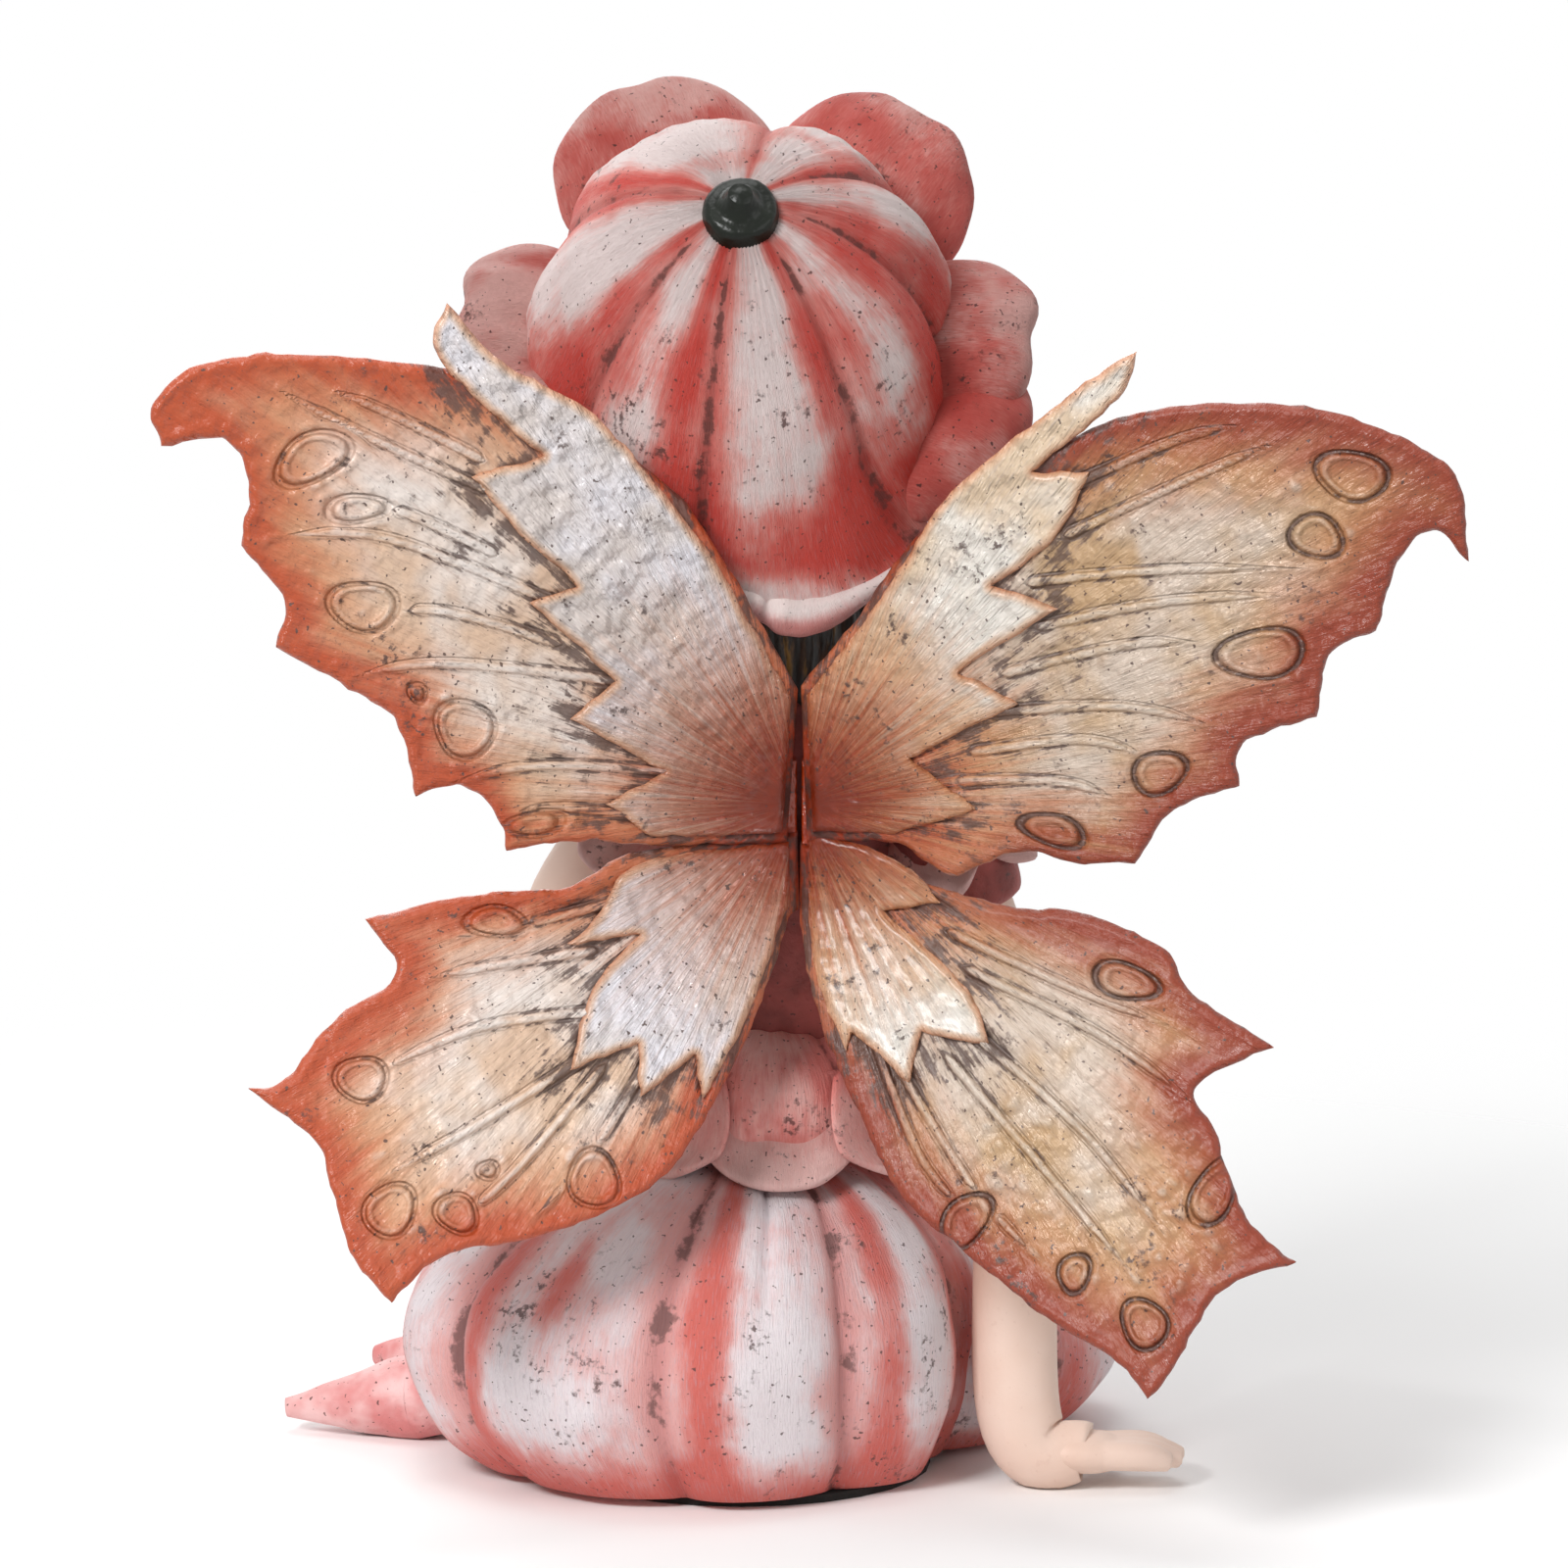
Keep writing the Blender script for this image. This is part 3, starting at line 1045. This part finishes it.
lowerLeftCollar = {
    "leading": ((-1.2, -0.6), (-23.0, -3.6), (-29.8, -11.4), (-34.3, -15.8)),
    "outer": (((-23.5, -14.3),),
              ((-30.4, -22.2), (-33.7, -34.0)),
              ((-23.6, -30.2),),
              ((-23.6, -38.2),),
              ((-15.4, -32.0),),
              ((-14.2, -38.2),)),
    "trailing": ((-1.4, -9.8), (-2.9, -13.2), (-7.6, -26.3), (-14.2, -38.2)),
    "veins": (), "rings": (),
}
lowerRight = {
    "leading": ((0.2, -0.6), (12.0, -4.6), (19.7, -7.2), (32.0, -10.4), (41.6, -11.1),
                (53.7, -16.4), (58.0, -22.9), (69.7, -30.7)),
    "outer": (((58.4, -36.4), (61.0, -43.0), (66.0, -56.0), (73.2, -62.5)),
              ((62.2, -66.5), (55.0, -78.0), (51.3, -82.5))),
    "trailing": ((0.2, -12.5), (1.6, -21.6), (4.6, -31.2), (8.9, -40.5), (15.0, -52.6), (24.6, -61.1),
                 (36.1, -70.4), (46.0, -76.5), (51.3, -82.5)),
    "veins": (((25.2, -15.1), (41.0, -22.3), (59.8, -29.5)),
              ((28.0, -20.9), (45.4, -29.5), (62.6, -42.5)),
              ((28.1, -31.0), (42.5, -43.9), (56.9, -62.6)),
              ((24.5, -35.3), (38.2, -51.1), (52.6, -68.4)),
              ((16.6, -36.7), (26.6, -52.6), (39.6, -65.5)),
              ((12.0, -32.0), (18.0, -47.0), (28.0, -58.0))),
    "rings": ((48.0, -20.9, 4.0, 2.4, -20.0), (60.9, -52.1, 4.3, 2.9, 60.0),
              (24.5, -56.2, 4.0, 2.9, 60.0), (40.5, -63.8, 2.5, 2.0, 50.0),
              (50.8, -71.3, 3.2, 3.2, 0.0)),
}
lowerRightCollar = {
    "leading": ((1.2, 0.7), (9.2, -0.9), (16.0, -4.3), (20.9, -9.4)),
    "outer": (((12.5, -10.9),),
              ((24.6, -22.2), (27.8, -30.4)),
              ((18.0, -28.7),),
              ((16.0, -36.1),),
              ((7.8, -28.4),),
              ((6.8, -31.4),)),
    "trailing": ((1.4, -12.0), (2.7, -21.2), (6.8, -31.4)),
    "veins": (), "rings": (),
}


def wingDepth(x, height):
    out = abs(x - wing["rootX"])
    below = max(-height - wing["lowerSweepStart"], 0.0)
    swept = wing["sweep"] * out - wing["sweepEase"] * out * out
    return wing["rootY"] - swept - wing["lowerSweep"] * below


def fromSight(drawn, nearer):
    forward = at(0.0, cos(sight["tilt"]), -sin(sight["tilt"]))
    upward = at(0.0, sin(sight["tilt"]), cos(sight["tilt"]))
    eye = sight["aim"] - forward * sight["distance"]
    target = sight["aim"] + at(drawn.x, 0.0, 0.0) + upward * drawn.y
    place = target.copy()
    for _ in range(4):
        depth = wingDepth(place.x, drawn.y) + nearer
        place = eye + (target - eye) * ((depth - eye.y) / (target.y - eye.y))
    return place


def wingBorder(outline, steps):
    def flat(pairs):
        return [at(across, high, 0.0) for across, high in pairs]
    border = smoothPath(flat(outline["leading"]), steps)[:-1]
    corner = outline["leading"][-1]
    for run in outline["outer"]:
        border += smoothPath(flat((corner,) + run), steps)[:-1]
        corner = run[-1]
    border += smoothPath(flat(outline["trailing"]), steps)[:0:-1]
    return border


def lineDistance(points, line, closed=True):
    # how far each drawn point lies from a line, and how far along it that is
    start = np.array([(spot.x, spot.y) for spot in line])
    run = np.roll(start, -1, axis=0) - start
    if not closed:
        start, run = start[:-1], run[:-1]
    length = (run ** 2).sum(axis=1)
    nearest = np.full(len(points), 1e9)
    along = np.zeros(len(points))
    for index, (origin, step, size) in enumerate(zip(start, run, length)):
        share = np.clip(((points - origin) @ step) / size, 0.0, 1.0)
        apart = np.hypot(*(points - origin - share[:, None] * step).T)
        along = np.where(apart < nearest, (index + share) / len(start), along)
        nearest = np.minimum(nearest, apart)
    return nearest, along


def inside(points, border):
    start = np.array([(spot.x, spot.y) for spot in border])
    end = np.roll(start, -1, axis=0)
    found = np.zeros(len(points), bool)
    for (x0, y0), (x1, y1) in zip(start, end):
        crosses = (y0 > points[:, 1]) != (y1 > points[:, 1])
        with np.errstate(divide="ignore", invalid="ignore"):
            x = x0 + (points[:, 1] - y0) * (x1 - x0) / (y1 - y0)
        found ^= crosses & (points[:, 0] < x)
    return found


def bell(value, width):
    return np.exp(-(value / width) ** 2)


def wingRelief(points, outline, apartFromCollar, bumps):
    # height of veins, rings and bumps over the drawn surface, the hollows where wash would pool,
    # and how far each point lies from the nearest vein (in vein widths) and ring (signed)
    angle = np.degrees(np.arctan2(-(points[:, 0] - wing["fan"].x), points[:, 1] - wing["fan"].y))
    spoke = np.hypot(points[:, 0] - wing["fan"].x, points[:, 1] - wing["fan"].y)
    height = np.zeros(len(points))
    ribAway = np.full(len(points), 9.0)
    ringAway = np.full(len(points), 9.0)
    for vein in outline["veins"]:
        spots = [at(x, y, 0.0) for x, y in vein]
        spots[0] += (spots[0] - spots[1]) * 0.35
        line = smoothPath(spots, 12)
        apart, along = lineDistance(points, line, closed=False)
        taper = np.clip(along / 0.1, 0.0, 1.0) * np.clip((1.0 - along) / 0.35, 0.0, 1.0)
        width = wing["ribWidth"] * (1.2 - 0.4 * along)
        height += (wing["ribHeight"] * bell(apart, width) - 0.3 * bell(apart - 2.1 * width, 0.6)) * taper
        ribAway = np.minimum(ribAway, apart / width + 4.0 * (1.0 - taper))
    turn = np.radians(angle)
    fineRibs = np.sin(turn * 62.0 + 1.5 * np.sin(spoke * 0.07)) + 0.5 * np.sin(turn * 113.0)
    if apartFromCollar is None:
        height += 0.16 * fineRibs * np.exp(-(spoke / 34.0) ** 2) * np.clip(spoke / 8.0, 0.0, 1.0)
        hollow = np.zeros(len(points))
    else:
        height += 0.24 * fineRibs * np.exp(-apartFromCollar / 11.0)
        hollow = 0.5 * np.clip(-fineRibs, 0.0, 1.0) * np.exp(-apartFromCollar / 9.0)
    for x, y, wide, tall, turn in outline["rings"]:
        c, s = cos(radians(turn)), sin(radians(turn))
        across = ((points[:, 0] - x) * c + (points[:, 1] - y) * s) / wide
        along = (-(points[:, 0] - x) * s + (points[:, 1] - y) * c) / tall
        turned = np.arctan2(along, across)
        uneven = 1.0 + 0.09 * np.sin(2.0 * turned + x) + 0.06 * np.sin(3.0 * turned + y)
        reach = np.hypot(across, along) * uneven
        away = (reach - 1.0) * min(wide, tall)
        fading = np.clip((reach - 0.9) / 0.7, 0.2, 1.0)
        height *= fading
        hollow *= fading
        ribAway += 4.0 * (1.0 - fading)
        height += (0.5 * bell(away + 0.5, 0.55) - 0.6 * bell(away - 0.35, 0.45)
                   + 0.3 * bell(away - 1.1, 0.55))
        ringAway = np.where(np.abs(away) < np.abs(ringAway), away, ringAway)
    for x, y, size in bumps:
        height += 0.5 * bell(np.hypot(points[:, 0] - x, points[:, 1] - y), size)
    return {"hollow": np.clip(hollow, 0.0, 1.4), "spoke": spoke, "height": height, "angle": angle,
            "rib": np.clip(ribAway, 0.0, 6.0), "ring": np.clip(ringAway, -3.0, 3.0)}


def bumpSpots(seed, count, low, high):
    random = np.random.default_rng(seed)
    spots = random.uniform(low, high, (count, 2))
    return [(x, y, size) for (x, y), size in zip(spots, random.uniform(0.5, 1.0, count))]


def makeWingSheet(title, node, outline, thickness, nearer, material, collar=None, bumps=()):
    border = wingBorder(outline, 10)
    wobble = [spot + at(rough(spot, 2.4, 0.45), rough(spot + up * 9.0, 2.4, 0.45))
              for spot in border]
    bm = bmesh.new()
    bm.faces.new([bm.verts.new(spot) for spot in wobble])
    low = [min(spot[axis] for spot in wobble) for axis in (0, 1)]
    high = [max(spot[axis] for spot in wobble) for axis in (0, 1)]
    for axis, normal in ((0, at(1.0, 0.0, 0.0)), (1, at(0.0, 1.0, 0.0))):
        for cut in range(1, int((high[axis] - low[axis]) / wing["step"]) + 1):
            geometry = bm.verts[:] + bm.edges[:] + bm.faces[:]
            bmesh.ops.bisect_plane(bm, geom=geometry, dist=1e-4, plane_no=normal,
                                   plane_co=normal * (low[axis] + cut * wing["step"]))
    bmesh.ops.triangulate(bm, faces=bm.faces[:])
    points = np.array([(vert.co.x, vert.co.y) for vert in bm.verts])
    edge, _ = lineDistance(points, wobble)
    apartFromCollar, shade = None, np.zeros(len(points))
    if collar:
        rim = wingBorder(collar, 6)
        apartFromCollar = np.where(inside(points, rim), 0.0, lineDistance(points, rim)[0])
        shade = np.exp(-apartFromCollar / 6.0)
    values = wingRelief(points, outline, apartFromCollar, bumps)
    lumps = np.array([rough(vert.co, 1.7, 1.0) + rough(vert.co, 4.5, 0.7) for vert in bm.verts])
    height = values["height"] + (0.22 if collar is None else 0.13) * lumps
    height = height * np.clip(edge / 2.0, 0.0, 1.0) + 0.3 * bell(edge - 1.1, 0.8)
    rounded = np.sqrt(1.0 - (1.0 - np.clip(edge / wing["rim"], 0.0, 1.0)) ** 2)
    values.update(edge=edge, shade=shade, height=height, thin=rounded)
    layers = dict(zip(values, paintLayers(bm, *values)))
    for index, vert in enumerate(bm.verts):
        for name, layer in layers.items():
            vert[layer] = values[name][index]
    front = bmesh.ops.extrude_face_region(bm, geom=bm.faces[:], use_keep_orig=True)
    back = {item for item in front["geom"] if isinstance(item, bmesh.types.BMVert)}
    for vert in bm.verts:
        inset = 0.5 * thickness * (0.75 - 0.75 * vert[layers["thin"]])
        behind = vert in back
        relief = -0.35 * vert[layers["height"]] if behind else -vert[layers["height"]]
        vert.co = fromSight(vert.co.copy(), nearer + relief)
        vert.co.y += (thickness - inset) if behind else inset
    layUv(bm, layers["angle"], layers["spoke"])
    bmesh.ops.recalc_face_normals(bm, faces=bm.faces[:])
    finishPiece(title, bm, material, node)


def nearTo(tree, distance, middle, reach):
    away = maths(tree, "ABSOLUTE", minus(tree, distance, middle))
    return remap(tree, away, 0.1, reach, 1.0, 0.0)


def wingPaint(name, look):
    # pale pearly membrane, rust toward the edge and the root, wash in the hollows
    look = readLook(look)
    material, tree, shader = newPaint(name)
    edge, hollow, shade, spoke, height, rib, ring = (
        attribute(tree, layer)
        for layer in ("edge", "hollow", "shade", "spoke", "height", "rib", "ring"))
    place = objectPlace(tree)
    streak = noiseOf(tree, uvOf(tree), 1.0, 3.0, 0.6, stretch=(0.55, 0.035, 1.0))
    fineStreak = noiseOf(tree, uvOf(tree), 1.0, 3.0, 0.7, stretch=(1.5, 0.15, 1.0))
    cloud = noiseOf(tree, place, 55.0, 3.0)
    patch = noiseOf(tree, place, 240.0, 4.0, 0.65)
    swing = times(tree, minus(tree, plus(tree, streak, cloud), 1.0), look["streak"])
    band = plus(tree, 0.35, times(tree, spoke, look["bandGrowth"]))
    outward = maths(tree, "DIVIDE", plus(tree, edge, swing), band)
    tint = mixColours(tree, remap(tree, cloud, 0.40, 0.62), look["pale"], look["gold"])
    veil = times(tree, remap(tree, fineStreak, 0.5, 0.75), 0.5)
    tint = mixColours(tree, veil, tint, look["veil"])
    rooted = plus(tree, spoke, times(tree, minus(tree, streak, 0.5), 26.0))
    stains = (("amber", "far", outward, 0.85), ("rust", "near", outward, look["rustShare"]),
              ("rootAmber", "warm", rooted, 1.0), ("rootRust", "root", rooted, 1.0))
    for stain, reach, source, share in stains:
        tint = mixColours(tree, remap(tree, source, *look[reach], share, 0.0), tint, look[stain])
    lifted = remap(tree, height, 0.2, 0.8, 0.0, 0.35)
    tint = mixColours(tree, times(tree, lifted, remap(tree, edge, 2.0, 10.0)), tint, look["light"])
    flank = nearTo(tree, rib, 1.7, 0.8)
    ringLine = nearTo(tree, ring, 0.3, 0.5)
    ringRim = nearTo(tree, ring, -0.55, 0.7)
    pooled = plus(tree, times(tree, fineStreak, 0.45), times(tree, patch, 0.7),
                  times(tree, hollow, 0.24), times(tree, shade, look["shade"]),
                  times(tree, flank, look["flank"]), times(tree, ringLine, look["ring"]))
    wash = times(tree, remap(tree, pooled, 0.72, 0.84), look["wash"])
    dots = useGroup(tree, washGroup, Hollow=0.0, Amount=0.0, Speck=look["speck"])
    wash = maths(tree, "MAXIMUM", wash, dots.outputs["Wash"])
    feed(tree, shader, "Base Color", mixColours(tree, wash, tint, look["dark"]))
    gloss = remap(tree, noiseOf(tree, place, 160.0, 2.0), 0.3, 0.7, *look["rough"])
    feed(tree, shader, "Roughness", gloss)
    sheen = remap(tree, edge, 1.0, 14.0, 0.0, look["metal"])
    feed(tree, shader, "Metallic", times(tree, minus(tree, 1.0, wash), sheen))
    shader.inputs["Coat Weight"].default_value = look["coat"]
    shader.inputs["Coat Roughness"].default_value = 0.25
    hammered = noiseOf(tree, place, look["hammer"], 1.5, 0.45)
    lumps = plus(tree, times(tree, fineStreak, 0.5), times(tree, dots.outputs["Grain"], 0.45),
                 times(tree, hammered, look["dent"]), times(tree, ringRim, 0.3),
                 times(tree, ringLine, -0.5), times(tree, flank, -0.3))
    bumpInto(tree, shader, lumps, look["bump"])
    return material


leftLook = {
    "pale": (232, 220, 212), "gold": (216, 184, 158), "light": (244, 236, 230),
    "amber": (204, 138, 94), "rust": (180, 70, 28), "rootAmber": (204, 132, 90),
    "rootRust": (168, 52, 6), "dark": (80, 56, 50), "veil": (176, 146, 130),
    "bandGrowth": 0.012, "far": (4.0, 15.0), "near": (0.5, 8.5), "warm": (12.0, 43.0),
    "root": (7.0, 32.0), "rustShare": 0.96, "streak": 9.0, "shade": 0.2, "wash": 0.85,
    "flank": 0.12, "ring": 0.12, "speck": 0.9,
    "rough": (0.28, 0.5), "metal": 0.08, "coat": 0.12, "bump": 0.9, "hammer": 380.0, "dent": 1.0,
}
rightLook = dict(leftLook, pale=(202, 184, 168), gold=(188, 154, 116), light=(226, 214, 200),
                 amber=(178, 112, 70), rust=(140, 48, 20), veil=(152, 122, 102), ring=0.28)
silverLook = dict(leftLook, pale=(238, 235, 242), gold=(224, 212, 206), light=(250, 248, 250),
                  amber=(218, 176, 142), rust=(204, 112, 58), rootAmber=(216, 158, 122),
                  veil=(188, 172, 168), bandGrowth=0.0, far=(1.5, 5.0), near=(-2.0, 2.8), rustShare=0.85,
                  streak=0.6, shade=0.0, wash=0.7, rough=(0.14, 0.28), metal=0.3, coat=0.5,
                  warm=(8.0, 45.0), root=(4.0, 29.0), bump=1.7, hammer=280.0, dent=1.6)
creamLook = dict(silverLook, pale=(241, 234, 224), gold=(226, 200, 170), metal=0.15,
                 rootAmber=(222, 152, 100), warm=(9.0, 42.0), root=(4.0, 27.0))


def makeTenon(side, sign, material):
    # the rib that joins a wing pair and enters the slot in her back
    inner = wing["rootX"] + sign * wing["rootGap"]
    outer = inner + sign * wing["tenonThick"]
    low = at(min(inner, outer), wing["tenonBack"], sight["aim"].z - wing["tenonDrop"])
    high = at(max(inner, outer), wing["tenonFront"], sight["aim"].z + wing["tenonRise"])
    bm = bmesh.new()
    bmesh.ops.create_cube(bm, size=1.0)
    for vert in bm.verts:
        vert.co = Vector([high[axis] if vert.co[axis] > 0.0 else low[axis] for axis in range(3)])
    bmesh.ops.bevel(bm, geom=bm.edges[:], offset=0.4, segments=3, profile=0.5, affect="EDGES",
                    material=-1)
    rib, ring, *_ = paintLayers(bm, "rib", "ring", "edge", "hollow", "shade", "spoke", "height")
    for vert in bm.verts:
        vert[rib] = vert[ring] = 6.0
    finishPiece(side + "Rib", bm, material, side + "_wings")


def makeWings():
    left = wingPaint("leftWingPaint", leftLook)
    right = wingPaint("rightWingPaint", rightLook)
    silver = wingPaint("silverCollarPaint", silverLook)
    cream = wingPaint("creamCollarPaint", creamLook)
    raised = wing["collarSink"] - wing["collarThick"]
    under = wing["underlap"]
    for name, outline, collar, nearer, node, paint, collarPaint, bumps in (
        ("upperLeftWing", upperLeft, upperLeftCollar, 0.0, "left_wings", left, silver,
         bumpSpots(3, 40, (-80.0, 5.0), (-40.0, 60.0))),
        ("lowerLeftWing", lowerLeft, lowerLeftCollar, under, "left_wings", left, silver,
         bumpSpots(4, 50, (-65.0, -60.0), (-30.0, -25.0))),
        ("upperRightWing", upperRight, upperRightCollar, 0.0, "right_wings", right, cream,
         bumpSpots(5, 50, (45.0, 5.0), (90.0, 55.0))),
        ("lowerRightWing", lowerRight, lowerRightCollar, under, "right_wings", right, cream,
         bumpSpots(6, 130, (25.0, -68.0), (62.0, -38.0))),
    ):
        makeWingSheet(name, node, outline, wing["thick"], nearer, paint, collar, bumps)
        makeWingSheet(name + "Collar", node, collar, wing["collarThick"], nearer + raised, collarPaint)
        print(name, "made")
    makeTenon("left", -1.0, silver)
    makeTenon("right", 1.0, cream)


makeWings()


# Pad

def paintPad():
    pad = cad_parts["base_pad"]
    material, tree, shader = newPaint("padFelt", 0.95)
    fuzz = noiseOf(tree, objectPlace(tree), 1400.0, 4.0, 0.7)
    feed(tree, shader, "Base Color", mixColours(tree, fuzz, colour(12, 12, 12), colour(38, 36, 34)))
    bumpInto(tree, shader, fuzz, 0.2)
    pad.data.materials.clear()
    pad.data.materials.append(material)


paintPad()


# Camera, floor and lamps

def aimAt(thing, place, target):
    thing.location = place
    thing.rotation_euler = (target - place).to_track_quat("-Z", "Y").to_euler()
    bpy.context.scene.collection.objects.link(thing)


def makeCamera():
    shot = {"aim": at(6.2, 0.0, 102.6) * mm, "distance": 1.2, "tilt": radians(10.0), "width": 0.2304}
    camera = bpy.data.cameras.new("photoCamera")
    camera.sensor_width = 36.0
    camera.lens = 36.0 * shot["distance"] / shot["width"]
    thing = bpy.data.objects.new("photoCamera", camera)
    away = at(0.0, -cos(shot["tilt"]), sin(shot["tilt"])) * shot["distance"]
    aimAt(thing, shot["aim"] + away, shot["aim"])
    bpy.context.scene.camera = thing


def makeLamp(name, place, size, watts, target=at(0.0, 0.0, 0.1)):
    lamp = bpy.data.lights.new(name, "AREA")
    lamp.size = size
    lamp.energy = watts
    aimAt(bpy.data.objects.new(name, lamp), place, target)


stage = {"floorRadius": 0.36, "fadeStart": 0.1, "skyLight": 0.33}


def makeStage():
    bm = bmesh.new()
    bmesh.ops.create_circle(bm, cap_ends=True, segments=96, radius=stage["floorRadius"])
    mesh = bpy.data.meshes.new("floor")
    bm.to_mesh(mesh)
    bm.free()
    floor = bpy.data.objects.new("floor", mesh)
    bpy.context.scene.collection.objects.link(floor)
    material, tree, shader = newPaint("floorPaint", 0.9)
    shader.inputs["Base Color"].default_value = (0.94, 0.94, 0.94, 1.0)
    away = addNode(tree, "ShaderNodeVectorMath", operation="LENGTH")
    tree.links.new(objectPlace(tree), away.inputs[0])
    fade = remap(tree, away.outputs["Value"], stage["fadeStart"], stage["floorRadius"], 1.0, 0.0)
    feed(tree, shader, "Alpha", fade)
    mesh.materials.append(material)
    world = bpy.data.worlds.new("studio")
    bpy.context.scene.world = world
    world.use_nodes = True
    tree = world.node_tree
    sky = tree.nodes["Background"]
    sky.inputs["Color"].default_value = (1.0, 1.0, 1.0, 1.0)
    ray = addNode(tree, "ShaderNodeLightPath").outputs
    seen = maths(tree, "MAXIMUM", ray["Is Camera Ray"], ray["Is Glossy Ray"])
    seen = maths(tree, "MAXIMUM", seen, ray["Is Transmission Ray"])
    feed(tree, sky, "Strength", remap(tree, seen, 0.0, 1.0, stage["skyLight"], 1.0, smooth=False))
    makeLamp("keyLamp", at(-0.55, -0.8, 0.8), 0.35, 10.5)
    makeLamp("fillLamp", at(0.8, -0.7, 0.45), 0.7, 2.0)
    makeLamp("topLamp", at(-0.1, 0.1, 1.1), 0.6, 3.5)
    makeLamp("frontLamp", at(-0.2, 0.9, 0.5), 0.7, 3.5)
    bpy.context.scene.view_settings.view_transform = "Standard"


makeCamera()
makeStage()
print("scene made")
